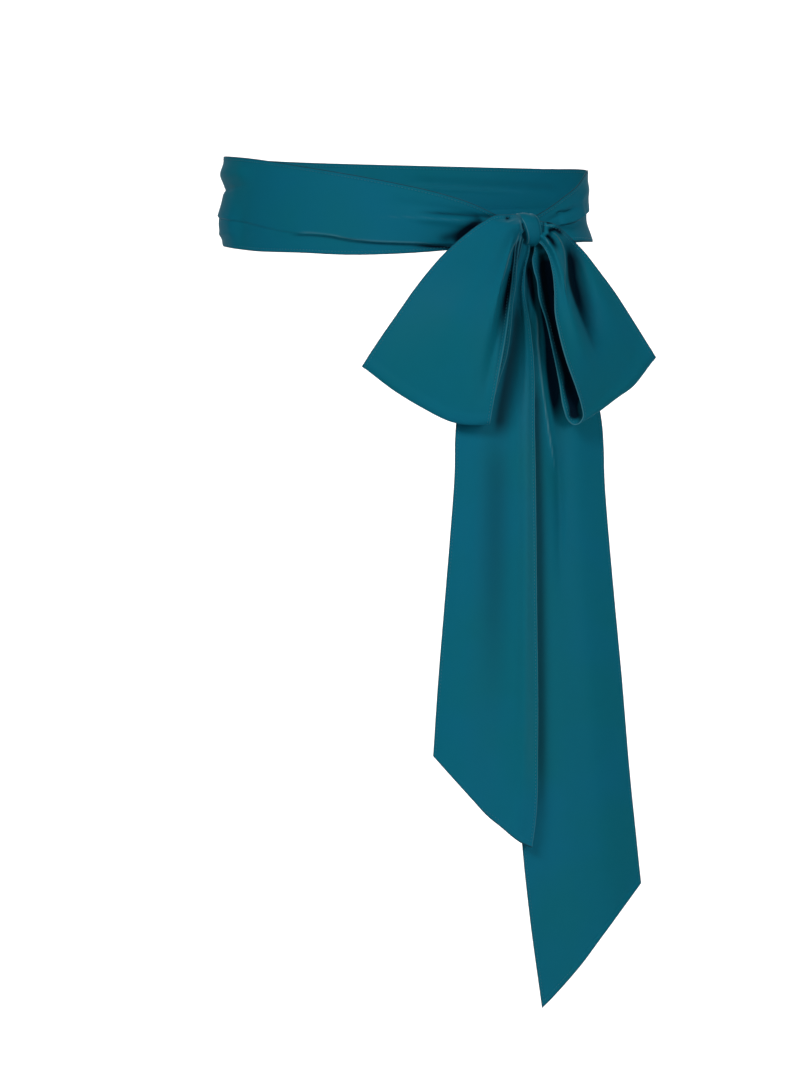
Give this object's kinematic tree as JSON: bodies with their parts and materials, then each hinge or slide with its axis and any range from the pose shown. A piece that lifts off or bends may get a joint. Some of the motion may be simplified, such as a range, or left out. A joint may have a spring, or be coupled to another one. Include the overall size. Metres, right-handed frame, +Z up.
{
  "type": "chiffon sash",
  "caption": "Soft waist sash in teal cloth, worn round the waist and tied at the front in a bow with hollow loops and slanted hanging tails.",
  "frame": {"origin": "middle of the waist opening, level with the middle of the waist band", "axes": "+Z up along the wearer's waist, -Y the front, +X the picture's right, where the bow sits"},
  "size_m": [0.3112, 0.2587, 0.5878],
  "materials": {
    "sash_cloth": "smooth teal chiffon in two layers, with a soft low sheen"
  },
  "bodies": {
    "root": {"waist_band": "sash_cloth", "knot": "sash_cloth", "left_loop": "sash_cloth", "right_loop": "sash_cloth", "front_tail": "sash_cloth", "rear_tail": "sash_cloth"}
  },
  "joints": []
}
